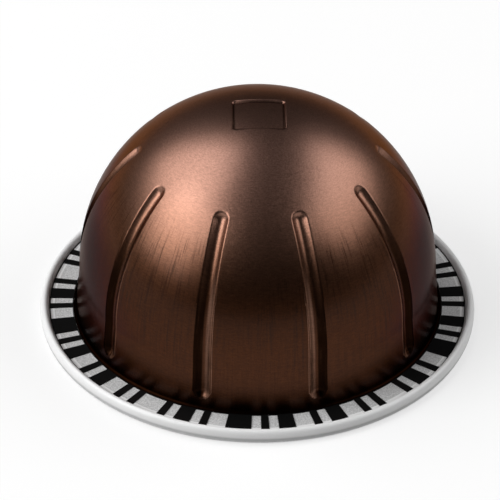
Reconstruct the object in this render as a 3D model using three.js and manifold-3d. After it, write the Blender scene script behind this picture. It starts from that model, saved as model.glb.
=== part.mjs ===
// Coffee pod: a sealed, domed capsule of drawn aluminium for a spinning brewer.
// Millimetres, +Z up along the axis of the dome. The pod stands dome up on its rolled rim, z = 0.
// The side that faces the viewer is -Y.
import * as THREE from "three";
import { mergeVertices } from "three/addons/utils/BufferGeometryUtils.js";
import Module from "manifold-3d";

const wasm = await Module();
wasm.setup();
const { Manifold } = wasm;

// Dome: half a sphere on a slightly flared wall, with a small fillet where it meets the flange
const DOME_RADIUS = 25.2;
const DOME_CENTRE_Z = 8;
const WALL_FLARE = 0.6;
const FOOT_FILLET = 0.45;

// Rim: a flat flange that ends in a rolled bead, oval in section
const FLANGE_WIDTH = 3.45;
const FLANGE_TOP = 1.3;
const FLANGE_THICKNESS = 0.2;
const BEAD_WIDTH = 1.3;
const BEAD_HEIGHT = 2.1;

// Grooves: round-ended flutes pressed in from the shoulder down to just above the foot
const GROOVE_COUNT = 10;
const GROOVE_WIDTH = 2;
const GROOVE_DEPTH = 0.5;
const GROOVE_TOP_ANGLE = 39.5;
const GROOVE_FOOT_Z = 3;

// Badge recess: a bare, shallow rectangle pressed into the top of the dome
const BADGE_WIDTH = 7.3;
const BADGE_LENGTH = 7;
const BADGE_CORNER = 0.5;
const BADGE_DEPTH = 0.2;

// Turn of the pressed pattern about the axis, as the pod stands
const PATTERN_TURN = 1.1;

// Printed band: a dark ring on the flange, with a window wherever a bar of bare metal shows.
// The runs of bar and gap, in modules, are made up and repeat round the ring.
const BAND_CLEARANCE = 0.05;
const BAND_THICKNESS = 0.1;
const BAND_MARGIN = 0.1;
const BAR_RUNS = [1, 2, 2, 1, 1, 1, 3, 1, 1, 2, 1, 1, 2, 3, 1, 1, 1, 2, 2, 1];
const BAR_RUN_REPEATS = 5;
const BAR_SPREAD = 0.12;

// Foil lid: a disc sealed to the underside of the flange, just inside the bead
const FOIL_THICKNESS = 0.1;
const FOIL_CLEARANCE = 0.4;

// Smoothness of the round shapes
const RING_SEGMENTS = 80;
const BEAD_SEGMENTS = 12;
const FOOT_SEGMENTS = 3;
const DOME_SEGMENTS = 16;
const GROOVE_SEGMENTS = 14;
const GROOVE_SPANS = 6;

// Sizes that follow from the ones above
const WALL_FOOT_RADIUS = DOME_RADIUS + WALL_FLARE;
const WALL_FOOT_Z = FLANGE_TOP + FOOT_FILLET;
const FLANGE_INNER_RADIUS = WALL_FOOT_RADIUS + FOOT_FILLET;
const FLANGE_OUTER_RADIUS = FLANGE_INNER_RADIUS + FLANGE_WIDTH;
const FLANGE_UNDERSIDE = FLANGE_TOP - FLANGE_THICKNESS;
const BEAD_MIDDLE_RADIUS = FLANGE_OUTER_RADIUS + BEAD_WIDTH / 2;
const BEAD_MIDDLE_Z = BEAD_HEIGHT / 2;
const BAND_TOP = FLANGE_TOP + BAND_THICKNESS;
const BAND_INNER_RADIUS = FLANGE_INNER_RADIUS + BAND_CLEARANCE;
const BAND_OUTER_RADIUS = beadInnerRadius(BAND_TOP) - BAND_CLEARANCE;
const FOIL_RADIUS = FLANGE_OUTER_RADIUS - FOIL_CLEARANCE;

const brownLacquer = new THREE.MeshStandardMaterial({ color: 0x6b4436, metalness: 0.8, roughness: 0.35 });
const bareFoil = new THREE.MeshStandardMaterial({ color: 0xc8c9cb, metalness: 0.9, roughness: 0.35 });
const blackPrint = new THREE.MeshStandardMaterial({ color: 0x101010, metalness: 0, roughness: 0.4 });

// Radius of the bead's inner side at a given height
function beadInnerRadius(z) {
  const rise = (z - BEAD_MIDDLE_Z) / (BEAD_HEIGHT / 2);
  return BEAD_MIDDLE_RADIUS - (BEAD_WIDTH / 2) * Math.sqrt(1 - rise * rise);
}

// Points evenly spaced along an arc of an ellipse, both ends included
function arc(centreX, centreY, radiusX, radiusY, from, to, segments) {
  return Array.from({ length: segments + 1 }, (_, i) => {
    const turn = from + ((to - from) * i) / segments;
    return new THREE.Vector2(centreX + radiusX * Math.cos(turn), centreY + radiusY * Math.sin(turn));
  });
}

// The bead, from the underside of the flange round the outside to the top of the flange
function beadProfile() {
  const points = arc(
    BEAD_MIDDLE_RADIUS, BEAD_MIDDLE_Z, BEAD_WIDTH / 2, BEAD_HEIGHT / 2, Math.PI, 3 * Math.PI, BEAD_SEGMENTS,
  );
  points[0].set(beadInnerRadius(FLANGE_UNDERSIDE), FLANGE_UNDERSIDE);
  points.at(-1).set(beadInnerRadius(FLANGE_TOP), FLANGE_TOP);
  return points;
}

// The hollow curve from the flange up to the foot of the wall
function footProfile() {
  return arc(
    FLANGE_INNER_RADIUS, WALL_FOOT_Z, FOOT_FILLET, FOOT_FILLET, 1.5 * Math.PI, Math.PI, FOOT_SEGMENTS,
  );
}

// The dome, from its widest ring to the axis
function domeProfile() {
  const points = arc(0, DOME_CENTRE_Z, DOME_RADIUS, DOME_RADIUS, 0, Math.PI / 2, DOME_SEGMENTS);
  points.at(-1).x = 0;
  return points;
}

// A three.js geometry as a Manifold solid
function toSolid(geometry) {
  geometry.deleteAttribute("normal");
  geometry.deleteAttribute("uv");
  const merged = mergeVertices(geometry);
  return new Manifold(new wasm.Mesh({
    numProp: 3,
    vertProperties: new Float32Array(merged.attributes.position.array),
    triVerts: new Uint32Array(merged.index.array),
  }));
}

// A Manifold solid as a three.js geometry
function toGeometry(solid) {
  const mesh = solid.getMesh();
  const geometry = new THREE.BufferGeometry();
  geometry.setAttribute("position", new THREE.BufferAttribute(mesh.vertProperties, 3));
  geometry.setIndex(new THREE.BufferAttribute(mesh.triVerts, 1));
  geometry.computeVertexNormals();
  return geometry;
}

// The cup with its contents, before anything is pressed into it
function plainCup() {
  const axisPoint = new THREE.Vector2(0, FLANGE_UNDERSIDE);
  const profile = [axisPoint, ...beadProfile(), ...footProfile(), ...domeProfile()];
  const lathe = new THREE.LatheGeometry(profile, RING_SEGMENTS);
  lathe.rotateX(Math.PI / 2);
  return toSolid(lathe);
}

// Middle line of a groove cutter, in the plane y = 0, held off the surface by a given distance
function grooveLine(lift) {
  const endAngle = Math.asin(GROOVE_WIDTH / 2 / DOME_RADIUS);
  const top = Math.PI / 2 - THREE.MathUtils.degToRad(GROOVE_TOP_ANGLE) - endAngle;
  const radius = DOME_RADIUS + lift;
  const line = arc(0, DOME_CENTRE_Z, radius, radius, top, 0, GROOVE_SPANS);
  const lowEnd = GROOVE_FOOT_Z + GROOVE_WIDTH / 2;
  const taper = WALL_FLARE / (DOME_CENTRE_Z - WALL_FOOT_Z);
  line.push(new THREE.Vector2(radius + taper * (DOME_CENTRE_Z - lowEnd), lowEnd));
  return line.map((point) => new THREE.Vector3(point.x, 0, point.y));
}

// Round bar with ball ends that leaves one groove when it is cut from the dome
function grooveCutter() {
  const radius = ((GROOVE_WIDTH / 2) ** 2 + GROOVE_DEPTH ** 2) / (2 * GROOVE_DEPTH);
  const line = grooveLine(radius - GROOVE_DEPTH);
  const section = new THREE.Shape(arc(0, 0, radius, radius, 0, 2 * Math.PI, GROOVE_SEGMENTS).slice(1));
  const bar = new THREE.ExtrudeGeometry(section, {
    steps: GROOVE_SPANS + 1,
    extrudePath: new THREE.CatmullRomCurve3(line),
  });
  const ball = (point) => toSolid(
    new THREE.SphereGeometry(radius, GROOVE_SEGMENTS, GROOVE_SEGMENTS / 2).translate(point.x, point.y, point.z),
  );
  return Manifold.union([toSolid(bar), ball(line[0]), ball(line.at(-1))]);
}

// All grooves: the first pair stands either side of the front
function grooveCutters() {
  const cutter = grooveCutter();
  const step = 360 / GROOVE_COUNT;
  return Manifold.union(Array.from({ length: GROOVE_COUNT }, (_, i) => (
    cutter.rotate([0, 0, PATTERN_TURN - 90 + step * (i + 0.5)])
  )));
}

// Rectangle with rounded corners, centred on the axis
function badgeOutline() {
  const halfWidth = BADGE_WIDTH / 2;
  const halfLength = BADGE_LENGTH / 2;
  const corner = (x, y, from) => (
    arc(x, y, BADGE_CORNER, BADGE_CORNER, from, from + Math.PI / 2, FOOT_SEGMENTS)
  );
  return new THREE.Shape([
    ...corner(halfWidth - BADGE_CORNER, halfLength - BADGE_CORNER, 0),
    ...corner(BADGE_CORNER - halfWidth, halfLength - BADGE_CORNER, Math.PI / 2),
    ...corner(BADGE_CORNER - halfWidth, BADGE_CORNER - halfLength, Math.PI),
    ...corner(halfWidth - BADGE_CORNER, BADGE_CORNER - halfLength, 1.5 * Math.PI),
  ]);
}

// Block whose lower face follows the dome, one badge depth below its surface
function badgeCutter() {
  const block = new THREE.ExtrudeGeometry(badgeOutline(), { depth: DOME_RADIUS, bevelEnabled: false });
  const floor = new THREE.SphereGeometry(DOME_RADIUS - BADGE_DEPTH, RING_SEGMENTS, RING_SEGMENTS / 2);
  return toSolid(block)
    .translate([0, 0, DOME_RADIUS / 2])
    .subtract(toSolid(floor.rotateX(Math.PI / 2)))
    .rotate([0, 0, PATTERN_TURN])
    .translate([0, 0, DOME_CENTRE_Z]);
}

function capsule() {
  const solid = plainCup().subtract(grooveCutters()).subtract(badgeCutter());
  const mesh = new THREE.Mesh(toGeometry(solid), brownLacquer);
  mesh.name = "capsule";
  return mesh;
}

// Outline of one window in the band, between two angles
function barWindow(from, to, modules) {
  const inner = BAND_INNER_RADIUS + BAND_MARGIN;
  const outer = BAND_OUTER_RADIUS - BAND_MARGIN;
  return new THREE.Path([
    ...arc(0, 0, outer, outer, from, to, modules),
    ...arc(0, 0, inner, inner, to, from, modules),
  ]);
}

// The windows all the way round: even entries of the runs are bars, odd ones are gaps.
// A bar is wider than its modules by the spread, as it prints.
function barWindows() {
  const runs = Array.from({ length: BAR_RUN_REPEATS }, () => BAR_RUNS).flat();
  const module = (2 * Math.PI) / runs.reduce((sum, run) => sum + run, 0);
  const spread = BAR_SPREAD / (BAND_INNER_RADIUS + BAND_OUTER_RADIUS);
  const windows = [];
  let passed = 0;
  runs.forEach((run, i) => {
    const [from, to] = [passed * module - spread, (passed + run) * module + spread];
    if (i % 2 === 0) windows.push(barWindow(from, to, run));
    passed += run;
  });
  return windows;
}

function codeBand() {
  const circle = (radius) => arc(0, 0, radius, radius, 0, 2 * Math.PI, RING_SEGMENTS).slice(1);
  const outline = new THREE.Shape(circle(BAND_OUTER_RADIUS));
  outline.holes = [new THREE.Path(circle(BAND_INNER_RADIUS)), ...barWindows()];
  const geometry = new THREE.ExtrudeGeometry(outline, { depth: BAND_THICKNESS, bevelEnabled: false });
  geometry.translate(0, 0, FLANGE_TOP);
  const mesh = new THREE.Mesh(geometry, blackPrint);
  mesh.name = "code_band";
  return mesh;
}

function lidFoil() {
  const geometry = new THREE.CylinderGeometry(FOIL_RADIUS, FOIL_RADIUS, FOIL_THICKNESS, RING_SEGMENTS);
  geometry.rotateX(Math.PI / 2);
  geometry.translate(0, 0, FLANGE_UNDERSIDE - FOIL_THICKNESS / 2);
  const mesh = new THREE.Mesh(geometry, bareFoil);
  mesh.name = "lid_foil";
  return mesh;
}

const pod = new THREE.Group();
pod.name = "coffee_pod";
pod.add(capsule(), lidFoil(), codeBand());

export default pod;
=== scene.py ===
"""Coffee pod: a domed capsule of brown lacquered aluminium, standing dome up on its rolled rim."""

import math

import bmesh
import bpy
from mathutils import Matrix, Vector


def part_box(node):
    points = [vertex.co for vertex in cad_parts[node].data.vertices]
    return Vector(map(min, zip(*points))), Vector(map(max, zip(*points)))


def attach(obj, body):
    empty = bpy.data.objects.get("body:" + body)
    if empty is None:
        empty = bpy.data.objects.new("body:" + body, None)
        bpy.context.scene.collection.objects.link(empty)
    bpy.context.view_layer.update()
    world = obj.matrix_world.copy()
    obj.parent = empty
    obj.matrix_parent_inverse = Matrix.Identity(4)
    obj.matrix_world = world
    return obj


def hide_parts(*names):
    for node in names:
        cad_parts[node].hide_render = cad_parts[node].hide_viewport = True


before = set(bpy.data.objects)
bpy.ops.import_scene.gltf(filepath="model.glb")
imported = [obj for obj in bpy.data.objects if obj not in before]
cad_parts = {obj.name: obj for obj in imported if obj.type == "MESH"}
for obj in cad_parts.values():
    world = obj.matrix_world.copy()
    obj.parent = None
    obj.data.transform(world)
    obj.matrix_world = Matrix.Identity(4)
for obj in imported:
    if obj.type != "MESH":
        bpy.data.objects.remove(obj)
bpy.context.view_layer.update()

MM = 0.001
BODY = "root"
MERGE_DISTANCE = 0.002 * MM
GROOVE_SIDE = "groove_side"
BADGE_CREASE = "badge_crease"

# Sizes taken from the solids
RIM_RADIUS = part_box("capsule")[1].y
FLANGE_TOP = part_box("code_band")[0].z
FLANGE_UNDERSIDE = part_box("lid_foil")[1].z
LID_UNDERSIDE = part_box("lid_foil")[0].z
LID_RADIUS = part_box("lid_foil")[1].y
BARS_OUTER_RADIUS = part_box("code_band")[1].y - 0.15 * MM

# Rim and bead
BEAD_WIDTH = 1.3 * MM
BEAD_HEIGHT = 2.1 * MM
BEAD_STEPS = 40
FLANGE_STEPS = 6
UNDERSIDE_STEPS = 4

# Dome and wall
DOME_RADIUS = 25.2 * MM
DOME_CENTRE = Vector((0, 0, 8 * MM))
WALL_FOOT_RADIUS = 25.8 * MM
WALL_STEPS = 26
FOOT_FILLET = 0.45 * MM
FOOT_STEPS = 6

# The dome's rows, from the widest ring up: angle covered and rows in it, finer where something is pressed in
DOME_BANDS = ((44, 38), (9, 18), (23, 20), (14, 60))

# Grooves
GROOVE_COUNT = 10
GROOVE_WIDTH = 2.0 * MM
GROOVE_SHOULDER = 0.1 * MM
GROOVE_DEPTH = 0.56 * MM
GROOVE_ROUNDING = 1.15
GROOVE_TOP_ANGLE = math.radians(40.2)
GROOVE_FOOT_Z = 3.0 * MM
GROOVE_SECTOR = math.radians(9)
GROOVE_SECTOR_STEPS = 32
PLAIN_SECTOR_STEPS = 9
PATTERN_TURN = math.radians(1.1)

# Badge recess
BADGE_WIDTH = 7.5 * MM
BADGE_LENGTH = 7.3 * MM
BADGE_CORNER = 0.5 * MM
BADGE_DEPTH = 0.34 * MM
BADGE_SLOPE = 0.26 * MM

# Lid: how far in from its edge the pressed sealing ring begins and ends, the ring's slopes and its rise
SEAL_INNER_INSET = 3.2 * MM
SEAL_OUTER_INSET = 0.4 * MM
SEAL_INNER_SLOPE = 0.4 * MM
SEAL_OUTER_SLOPE = 0.3 * MM
SEAL_RISE = 0.5
LID_STEPS = 180

# Lacquer colour by height, as a share of the pod's height, with painted shade that darkens it down the wall to
# near black at the foot
POD_HEIGHT = 33 * MM
LACQUER_WITH_PAINTED_SHADE = ((0.06, (0.003, 0.001, 0.0005)), (0.11, (0.056, 0.0175, 0.0055)),
                     (0.3, (0.054, 0.0165, 0.005)), (0.5, (0.036, 0.0105, 0.0025)),
                     (0.62, (0.095, 0.038, 0.019)), (0.74, (0.22, 0.107, 0.069)),
                     (0.92, (0.34, 0.186, 0.142)))
# Painted highlight on one wall of each groove, and painted shade on the other
GROOVE_PAINTED_HIGHLIGHT = (0.32, 0.165, 0.11, 1)
GROOVE_PAINTED_SHADE = (0.004, 0.0015, 0.0005, 1)
# Painted shade at the foot of the badge recess's sides
BADGE_PAINTED_SHADE = (0.02, 0.007, 0.003, 1)
MARKED_LACQUER = (0.03, 0.012, 0.006, 1)
BUMP_DISTANCE = 0.02 * MM

# Grey of the bead by height, as a share of its own height: painted shading, with a dark band on its side and pale
# above and below it
BEAD_PAINTED_SHADING = ((0.08, 0.95), (0.22, 0.9), (0.38, 0.45), (0.52, 0.95), (0.64, 0.99))

# Lamps: name, azimuth, elevation, width, height and radiance, where radiance 1 is a white surface
SOFTBOXES = (("back_left_softbox", -110, 50.5, 0.9, 1.0, 2.4), ("left_softbox", -68, 35.2, 0.78, 0.9, 3.9),
             ("right_softbox", 98, 42, 1.38, 0.7, 2.1))
SOFTBOX_DISTANCE = 1.2
WORLD_LIGHT = 0.03
FLOOR_HALF_WIDTH = 3
FLOOR_GREY = 0.48
FLOOR_LIFT = 0.575

# Camera: elevation, distance from the middle of the flange, and focal length in sensor widths
CAMERA_ELEVATION = math.radians(36.46)
CAMERA_DISTANCE = 395.8 * MM
CAMERA_AIM = Vector((-1.09, 0, 10.07)) * MM
CAMERA_ROLL = 0.0059
FOCAL_RATIO = 5.531


# Small helpers

def direction(azimuth, elevation):
    """Unit vector towards a place seen from the pod; azimuth 0 is the front and 90 the right."""
    a, e = math.radians(azimuth), math.radians(elevation)
    return Vector((math.sin(a) * math.cos(e), -math.cos(a) * math.cos(e), math.sin(e)))


def smooth(x):
    """0 below 0, 1 above 1, and a soft step between."""
    x = min(1.0, max(0.0, x))
    return x * x * (3 - 2 * x)


def new_piece(name, bm, materials):
    mesh = bpy.data.meshes.new(name)
    bm.to_mesh(mesh)
    bm.free()
    mesh.shade_smooth()
    for material in materials:
        mesh.materials.append(material)
    piece = bpy.data.objects.new(name, mesh)
    bpy.context.scene.collection.objects.link(piece)
    return piece


# Materials

def node_maker(tree):
    """Function that adds a node to the tree, sets its inputs and links those that are sockets."""
    def make(kind, settings=None, **inputs):
        node = tree.nodes.new(kind)
        for key, value in (settings or {}).items():
            setattr(node, key, value)
        for key, value in inputs.items():
            socket = node.inputs[int(key[1:]) if key[1:].isdigit() else key.replace("_", " ")]
            if isinstance(value, bpy.types.NodeSocket):
                tree.links.new(value, socket)
            else:
                socket.default_value = value
        return node
    return make


def new_material(name):
    material = bpy.data.materials.new(name)
    material.use_nodes = True
    material.node_tree.nodes.clear()
    return material, node_maker(material.node_tree)


def finish_surface(make, **inputs):
    """Ends a material in one shader with these inputs."""
    shader = make("ShaderNodeBsdfPrincipled", **inputs)
    make("ShaderNodeOutputMaterial", Surface=shader.outputs["BSDF"])


def grey(value):
    return value, value, value, 1


def fine_grain_group():
    """Fine speckle of satin metal, from 0 to 1."""
    group = bpy.data.node_groups.new("fine_grain", "ShaderNodeTree")
    group.interface.new_socket("Vector", in_out="INPUT", socket_type="NodeSocketVector")
    group.interface.new_socket("Density", in_out="INPUT", socket_type="NodeSocketFloat")
    group.interface.new_socket("Grain", in_out="OUTPUT", socket_type="NodeSocketFloat")
    make = node_maker(group)
    source = make("NodeGroupInput")
    speckle = make("ShaderNodeTexNoise", Vector=source.outputs["Vector"],
                   Scale=source.outputs["Density"], Detail=3.0, Roughness=0.6)
    make("NodeGroupOutput", Grain=stretch(make, speckle.outputs["Fac"], 0.3, 0.7, 0.0, 1.0))
    return group


def fine_grain(make, grain, place, density):
    return make("ShaderNodeGroup", {"node_tree": grain}, Vector=place, Density=density).outputs["Grain"]


def object_place(make):
    return make("ShaderNodeTexCoord").outputs["Object"]


def noise(make, place, scale, **inputs):
    return make("ShaderNodeTexNoise", Vector=place, Scale=scale, **inputs).outputs["Fac"]


def scaled(make, place, scale):
    return make("ShaderNodeMapping", Vector=place, Scale=scale).outputs["Vector"]


def bumped(make, height, strength, distance=BUMP_DISTANCE):
    return make("ShaderNodeBump", Height=height, Strength=strength, Distance=distance).outputs["Normal"]


def mix_colour(make, factor, first, second):
    node = make("ShaderNodeMix", {"data_type": "RGBA"}, _0=factor, _6=first, _7=second)
    return node.outputs[2]


def colour_steps(make, factor, steps):
    """Colour that follows the steps, each a place from 0 to 1 and a colour."""
    node = make("ShaderNodeValToRGB", Fac=factor)
    ramp = node.color_ramp
    ramp.interpolation = "B_SPLINE"
    for position, colour in steps[2:]:
        ramp.elements.new(position)
    for element, (position, colour) in zip(ramp.elements, steps):
        element.position, element.color = position, (*colour, 1)
    return node.outputs["Color"]


def arithmetic(make, operation, first, second):
    return make("ShaderNodeMath", {"operation": operation}, _0=first, _1=second).outputs["Value"]


def multiply(make, *factors):
    product = factors[0]
    for factor in factors[1:]:
        product = arithmetic(make, "MULTIPLY", product, factor)
    return product


def flat_place(make, place):
    """Place in the plane of the floor, distance from the axis and height."""
    axes = make("ShaderNodeSeparateXYZ", Vector=place).outputs
    flat = make("ShaderNodeCombineXYZ", X=axes["X"], Y=axes["Y"]).outputs["Vector"]
    radius = make("ShaderNodeVectorMath", {"operation": "LENGTH"}, _0=flat).outputs["Value"]
    return flat, radius, axes["Z"]


def unrolled_place(make, flat, radius, height):
    """Place on the pod as a spot on the unit circle and a way down from the top of the dome."""
    unit = make("ShaderNodeVectorMath", {"operation": "NORMALIZE"}, _0=flat).outputs["Vector"]
    spot = make("ShaderNodeSeparateXYZ", Vector=unit).outputs
    down = arithmetic(make, "SUBTRACT", radius, height)
    return make("ShaderNodeCombineXYZ", X=spot["X"], Y=spot["Y"], Z=down).outputs["Vector"]


def stretch(make, value, start, end, low, high):
    """Value that goes in a straight line from low at the start to high at the end."""
    return make("ShaderNodeMapRange", Value=value, From_Min=start, From_Max=end, To_Min=low,
                To_Max=high).outputs["Result"]


def soft_step(make, value, start, end):
    """0 before the start, 1 after the end, and a soft step between; the start may be the larger."""
    return make("ShaderNodeMapRange", {"interpolation_type": "SMOOTHSTEP"}, Value=value, From_Min=start,
                From_Max=end).outputs["Result"]


def attribute(make, name):
    return make("ShaderNodeAttribute", {"attribute_name": name}).outputs["Fac"]


def brown_lacquer(grain):
    """Satin brown lacquer on drawn metal, darkened down the wall by painted shade, brushed round, with marks of
    the draw, painted highlight and shade on the grooves' walls and painted shade at the foot of the badge recess's
    sides.
    """
    material, make = new_material("brown_lacquer")
    place = object_place(make)
    flat, radius, height = flat_place(make, place)
    unrolled = unrolled_place(make, flat, radius, height)

    # Brushing runs round the dome; the marks of the draw run down the wall, in patches
    brushing = noise(make, scaled(make, unrolled, (26, 26, 4200)), 1.0, Detail=4.0, Roughness=0.6)
    marks = noise(make, scaled(make, unrolled, (75, 75, 130)), 1.0, Detail=3.0, Roughness=0.7)
    patches = noise(make, place, 110.0, Detail=1.0)
    marked = multiply(make, soft_step(make, marks, 0.48, 0.72), soft_step(make, patches, 0.4, 0.56),
                      soft_step(make, height, 5 * MM, 11 * MM), soft_step(make, height, 27 * MM, 21 * MM), 0.8)

    # Low on the wall, a painted highlight lies on one wall of each groove and painted shade on the other
    side = attribute(make, GROOVE_SIDE)
    low = soft_step(make, height, 23 * MM, 15 * MM)
    groove_highlight_share = multiply(make, soft_step(make, side, 0.05, 0.5), soft_step(make, side, 1.1, 0.85), low, 0.55)
    groove_shade_share = multiply(make, soft_step(make, side, -0.02, -0.3), low, 0.9)
    # Painted shade at the foot of the badge recess's sides
    badge_shade_share = multiply(make, attribute(make, BADGE_CREASE), 0.9)

    # Colour by height with its painted shade, then the painted highlight and shade in the grooves, the painted
    # shade at the foot of the badge's sides, and the marks of the draw
    colour = colour_steps(make, arithmetic(make, "DIVIDE", height, POD_HEIGHT), LACQUER_WITH_PAINTED_SHADE)
    for share, other in ((groove_highlight_share, GROOVE_PAINTED_HIGHLIGHT), (groove_shade_share, GROOVE_PAINTED_SHADE), (badge_shade_share, BADGE_PAINTED_SHADE),
                         (marked, MARKED_LACQUER)):
        colour = mix_colour(make, share, colour, other)

    # Grain, brushing and faint streaks make it uneven
    speckle = fine_grain(make, grain, place, 5200.0)
    streaks = arithmetic(make, "SUBTRACT", 1.04, multiply(make, soft_step(make, marks, 0.35, 0.65), low, 0.14))
    shade = multiply(make, stretch(make, speckle, 0.0, 1.0, 0.84, 1.16),
                     stretch(make, brushing, 0.35, 0.65, 0.86, 1.14), streaks)
    colour = make("ShaderNodeVectorMath", {"operation": "SCALE"}, _0=colour, Scale=shade).outputs["Vector"]
    unevenness = arithmetic(make, "ADD", speckle, brushing)

    coat = multiply(make, soft_step(make, height, 27 * MM, 19 * MM), arithmetic(make, "SUBTRACT", 1.0, groove_shade_share),
                    soft_step(make, height, 1.8 * MM, 3 * MM), 0.16)
    finish_surface(make, Base_Color=colour, Metallic=1.0, Roughness=stretch(make, unevenness, 0.4, 1.6, 0.3, 0.37),
                   Normal=bumped(make, unevenness, 0.3), Specular_Tint=(0.36, 0.28, 0.24, 1),
                   Coat_Weight=coat, Coat_Roughness=0.24)
    return material


def bare_metal(grain):
    """Bare satin aluminium: grainy between the printed bars, with a painted highlight on the windows' outer ends
    and a line of painted shade beyond them, and paler on the bead, where its greys are painted shading.
    """
    material, make = new_material("bare_metal")
    place = object_place(make)
    _, radius, height = flat_place(make, place)
    beyond = arithmetic(make, "SUBTRACT", radius, BARS_OUTER_RADIUS)
    # From just inside the bars' outer ends the bead's pale colour takes over, a painted highlight on the windows'
    # ends
    edge = soft_step(make, beyond, -0.62 * MM, -0.54 * MM)
    # A thin dark line of painted shade just beyond the bars' outer ends
    painted_shade_line = multiply(make, soft_step(make, beyond, -0.02 * MM, 0.03 * MM),
                        soft_step(make, beyond, 0.15 * MM, 0.1 * MM))

    speckle = fine_grain(make, grain, place, 4800.0)
    windows = mix_colour(make, speckle, grey(0.48), grey(0.84))
    # The bead's greys by height are painted shading: a dark band on its side, pale above and below
    greys = [(share, (value, value, value)) for share, value in BEAD_PAINTED_SHADING]
    side = colour_steps(make, arithmetic(make, "DIVIDE", height, BEAD_HEIGHT), greys)
    bead = mix_colour(make, multiply(make, speckle, 0.1), side, grey(0.75))
    colour = mix_colour(make, painted_shade_line, mix_colour(make, edge, windows, bead), grey(0.03))

    finish_surface(make, Base_Color=colour, Metallic=0.05, Roughness=stretch(make, speckle, 0.0, 1.0, 0.4, 0.52),
                   Normal=bumped(make, speckle, 0.05))
    return material


def black_print(grain):
    """Satin black ink."""
    material, make = new_material("black_print")
    speckle = fine_grain(make, grain, object_place(make), 5000.0)
    finish_surface(make, Base_Color=mix_colour(make, speckle, grey(0.002), grey(0.005)),
                   Roughness=stretch(make, speckle, 0.0, 1.0, 0.45, 0.55), Specular_IOR_Level=0.12)
    return material


def foil_metal(grain):
    """Bright foil with faint wrinkles."""
    material, make = new_material("foil_metal")
    place = object_place(make)
    speckle = fine_grain(make, grain, place, 4000.0)
    wrinkles = noise(make, place, 260.0, Detail=2.0, Distortion=0.8)
    finish_surface(make, Base_Color=mix_colour(make, speckle, (0.66, 0.66, 0.67, 1), (0.76, 0.76, 0.77, 1)),
                   Metallic=0.9, Roughness=stretch(make, speckle, 0.0, 1.0, 0.28, 0.4),
                   Normal=bumped(make, wrinkles, 0.35, 0.2 * MM))
    return material


# The drawn cup

def arc(start, centre, angle, steps):
    """Points left by one that turns about a centre in the plane y = 0."""
    return [centre + Matrix.Rotation(-angle * i / steps, 3, "Y") @ (start - centre) for i in range(steps + 1)]


def straight(start, end, steps):
    """Points between two others, both left out."""
    return [start.lerp(end, i / steps) for i in range(1, steps)]


def cup_section(bm):
    """Half section of the cup with its contents, from the axis underneath to the top of the dome."""
    bead_centre = Vector((RIM_RADIUS - BEAD_WIDTH / 2, 0, BEAD_HEIGHT / 2))
    oval = Vector((1, 1, BEAD_HEIGHT / BEAD_WIDTH))
    under, over = (math.asin((z - bead_centre.z) * 2 / BEAD_HEIGHT) for z in (FLANGE_UNDERSIDE, FLANGE_TOP))
    first = Matrix.Rotation(under, 3, "Y") @ Vector((-BEAD_WIDTH / 2, 0, 0))
    ring = arc(first, Vector(), 2 * math.pi - over + under, BEAD_STEPS)
    bead = [bead_centre + oval * point for point in ring]

    foot_centre = Vector((WALL_FOOT_RADIUS + FOOT_FILLET, 0, FLANGE_TOP + FOOT_FILLET))
    foot = arc(foot_centre - Vector((0, 0, FOOT_FILLET)), foot_centre, -math.pi / 2, FOOT_STEPS)
    dome = [DOME_CENTRE + Vector((DOME_RADIUS, 0, 0))]
    for degrees, rows in DOME_BANDS:
        dome += arc(dome[-1], DOME_CENTRE, math.radians(degrees), rows)[1:]
    dome[-1].x = 0

    axis_point = Vector((0, 0, FLANGE_UNDERSIDE))
    line = [axis_point, *straight(axis_point, bead[0], UNDERSIDE_STEPS), *bead,
            *straight(bead[-1], foot[0], FLANGE_STEPS), *foot, *straight(foot[-1], dome[0], WALL_STEPS), *dome]
    verts = [bm.verts.new(point) for point in line]
    for start, end in zip(verts, verts[1:]):
        bm.edges.new((start, end))


def revolve_between_grooves(bm):
    """Turns the section all the way round, in finer steps where a groove will be."""
    line = list(bm.verts) + list(bm.edges)
    plain = 2 * math.pi / GROOVE_COUNT - GROOVE_SECTOR
    first = -math.pi / 2 + PATTERN_TURN - plain / 2
    bmesh.ops.rotate(bm, verts=bm.verts, matrix=Matrix.Rotation(first, 3, "Z"))
    for _ in range(GROOVE_COUNT):
        for angle, steps in ((plain, PLAIN_SECTOR_STEPS), (GROOVE_SECTOR, GROOVE_SECTOR_STEPS)):
            line = bmesh.ops.spin(bm, geom=line, axis=(0, 0, 1), angle=angle, steps=steps)["geom_last"]
    bmesh.ops.remove_doubles(bm, verts=bm.verts, dist=MERGE_DISTANCE)
    bmesh.ops.recalc_face_normals(bm, faces=bm.faces)


def groove_place(point):
    """Distance from the middle line of the nearest groove and place across it, as shares of half its width."""
    radius = math.hypot(point.x, point.y)
    step = 2 * math.pi / GROOVE_COUNT
    azimuth = math.atan2(point.x, -point.y) - PATTERN_TURN
    across = ((azimuth % step) - step / 2) * radius
    polar = math.atan2(radius, point.z - DOME_CENTRE.z)
    end = GROOVE_WIDTH / 2
    before = (GROOVE_TOP_ANGLE - polar) * DOME_RADIUS + end
    below = GROOVE_FOOT_Z + end - point.z
    half = end + GROOVE_SHOULDER
    return math.hypot(across, max(before, below, 0)) / half, math.copysign(across / half, -across * azimuth)


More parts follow.
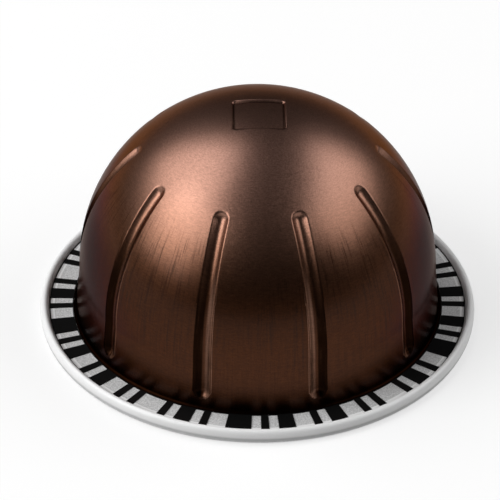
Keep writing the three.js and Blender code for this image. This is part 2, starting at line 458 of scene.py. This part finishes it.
def badge_place(point):
    """How far in the badge recess is pressed at a point at the top of the dome, and how near the foot of its
    sides.
    """
    turned = Matrix.Rotation(-PATTERN_TURN, 3, "Z") @ point
    over_x = abs(turned.x) - BADGE_WIDTH / 2 + BADGE_CORNER
    over_y = abs(turned.y) - BADGE_LENGTH / 2 + BADGE_CORNER
    outside = math.hypot(max(over_x, 0), max(over_y, 0)) + min(max(over_x, over_y), 0) - BADGE_CORNER
    return BADGE_DEPTH * smooth(-outside / BADGE_SLOPE), smooth(1 - abs(outside + BADGE_SLOPE) / BADGE_SLOPE)


def press_in(bm):
    """Moves the dome's surface inwards at the grooves and the badge recess."""
    side_layer = bm.verts.layers.float.new(GROOVE_SIDE)
    crease_layer = bm.verts.layers.float.new(BADGE_CREASE)
    for vert in bm.verts:
        point = vert.co
        radius = math.hypot(point.x, point.y)
        if radius > WALL_FOOT_RADIUS or point.z < GROOVE_FOOT_Z - 2 * GROOVE_SHOULDER:
            continue
        reach, side = groove_place(point)
        depth = GROOVE_DEPTH * max(1 - reach * reach, 0) ** GROOVE_ROUNDING
        if radius < BADGE_WIDTH:
            pressed, vert[crease_layer] = badge_place(point)
            depth += pressed
        out = point - DOME_CENTRE if point.z > DOME_CENTRE.z else Vector((point.x, point.y, 0))
        vert[side_layer] = side if reach < 1.15 else 0
        vert.co = point - out.normalized() * depth


def make_cup(lacquer, bare):
    bm = bmesh.new()
    cup_section(bm)
    revolve_between_grooves(bm)
    press_in(bm)
    lacquer_edge = WALL_FOOT_RADIUS + FOOT_FILLET
    for face in bm.faces:
        middle = face.calc_center_median()
        face.material_index = int(math.hypot(middle.x, middle.y) > lacquer_edge or middle.z < FLANGE_TOP)
    cup = new_piece("drawn_cup", bm, [lacquer, bare])
    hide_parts("capsule")
    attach(cup, BODY)


# The foil lid

def make_lid(foil):
    """Thin disc with a pressed sealing ring near its edge."""
    bm = bmesh.new()
    thickness = FLANGE_UNDERSIDE - LID_UNDERSIDE
    seal_in, seal_out = LID_RADIUS - SEAL_INNER_INSET, LID_RADIUS - SEAL_OUTER_INSET
    stations = ((0, 0), (seal_in - SEAL_INNER_SLOPE, 0), (seal_in, SEAL_RISE), (seal_in + 0.3 * MM, SEAL_RISE),
                (seal_out - SEAL_OUTER_SLOPE, SEAL_RISE), (seal_out, 0.1), (LID_RADIUS, 0.1), (LID_RADIUS, 1),
                (0, 1))
    points = [bm.verts.new((radius, 0, LID_UNDERSIDE + thickness * rise)) for radius, rise in stations]
    for start, end in zip(points, points[1:]):
        bm.edges.new((start, end))
    bmesh.ops.spin(bm, geom=list(bm.verts) + list(bm.edges), axis=(0, 0, 1), angle=2 * math.pi,
                   steps=LID_STEPS, use_merge=True)
    bmesh.ops.remove_doubles(bm, verts=bm.verts, dist=MERGE_DISTANCE)
    bmesh.ops.recalc_face_normals(bm, faces=bm.faces)
    lid = new_piece("sealed_lid", bm, [foil])
    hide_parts("lid_foil")
    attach(lid, BODY)


# Studio

def make_floor():
    """Pale floor that keeps the shadow, and is lifted to white where it is seen."""
    bm = bmesh.new()
    bmesh.ops.create_grid(bm, x_segments=1, y_segments=1, size=FLOOR_HALF_WIDTH)
    material, make = new_material("pale_floor")
    rays = make("ShaderNodeLightPath").outputs
    seen = arithmetic(make, "MAXIMUM", rays["Is Camera Ray"], rays["Is Glossy Ray"])
    seen = arithmetic(make, "MAXIMUM", seen, rays["Is Transmission Ray"])
    finish_surface(make, Base_Color=grey(FLOOR_GREY), Roughness=0.9, Specular_IOR_Level=0.0,
                   Emission_Color=grey(1), Emission_Strength=multiply(make, seen, FLOOR_LIFT))
    floor = new_piece("floor", bm, [material])


def softbox(name, azimuth, elevation, width, height, radiance):
    """Rectangular lamp that faces the pod."""
    light = bpy.data.lights.new(name, "AREA")
    light.shape = "RECTANGLE"
    light.size, light.size_y = width, height
    light.energy = radiance * math.pi * width * height
    lamp = bpy.data.objects.new(name, light)
    bpy.context.scene.collection.objects.link(lamp)
    away = direction(azimuth, elevation)
    lamp.location = away * SOFTBOX_DISTANCE
    lamp.rotation_euler = away.to_track_quat("Z", "Y").to_euler()
    lamp.visible_camera = False


def make_light():
    for values in SOFTBOXES:
        softbox(*values)
    world = bpy.data.worlds.new("studio")
    world.use_nodes = True
    background = world.node_tree.nodes["Background"]
    background.inputs["Color"].default_value = grey(1)
    background.inputs["Strength"].default_value = WORLD_LIGHT
    bpy.context.scene.world = world


def make_camera():
    camera = bpy.data.cameras.new("camera")
    camera.sensor_width = 36
    camera.lens = FOCAL_RATIO * camera.sensor_width
    camera.clip_start = 0.01
    eye = bpy.data.objects.new("camera", camera)
    bpy.context.scene.collection.objects.link(eye)
    flange_middle = Vector((0, 0, FLANGE_TOP))
    eye.location = flange_middle + direction(0, math.degrees(CAMERA_ELEVATION)) * CAMERA_DISTANCE
    aim = (eye.location - CAMERA_AIM).to_track_quat("Z", "Y").to_matrix()
    eye.rotation_euler = (aim @ Matrix.Rotation(CAMERA_ROLL, 3, "Z")).to_euler()
    bpy.context.scene.camera = eye


def set_colours():
    bpy.context.scene.view_settings.view_transform = "Standard"


set_colours()
make_camera()
grain = fine_grain_group()
make_cup(brown_lacquer(grain), bare_metal(grain))
make_lid(foil_metal(grain))
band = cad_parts["code_band"]
band.data.materials.clear()
band.data.materials.append(black_print(grain))
make_floor()
make_light()
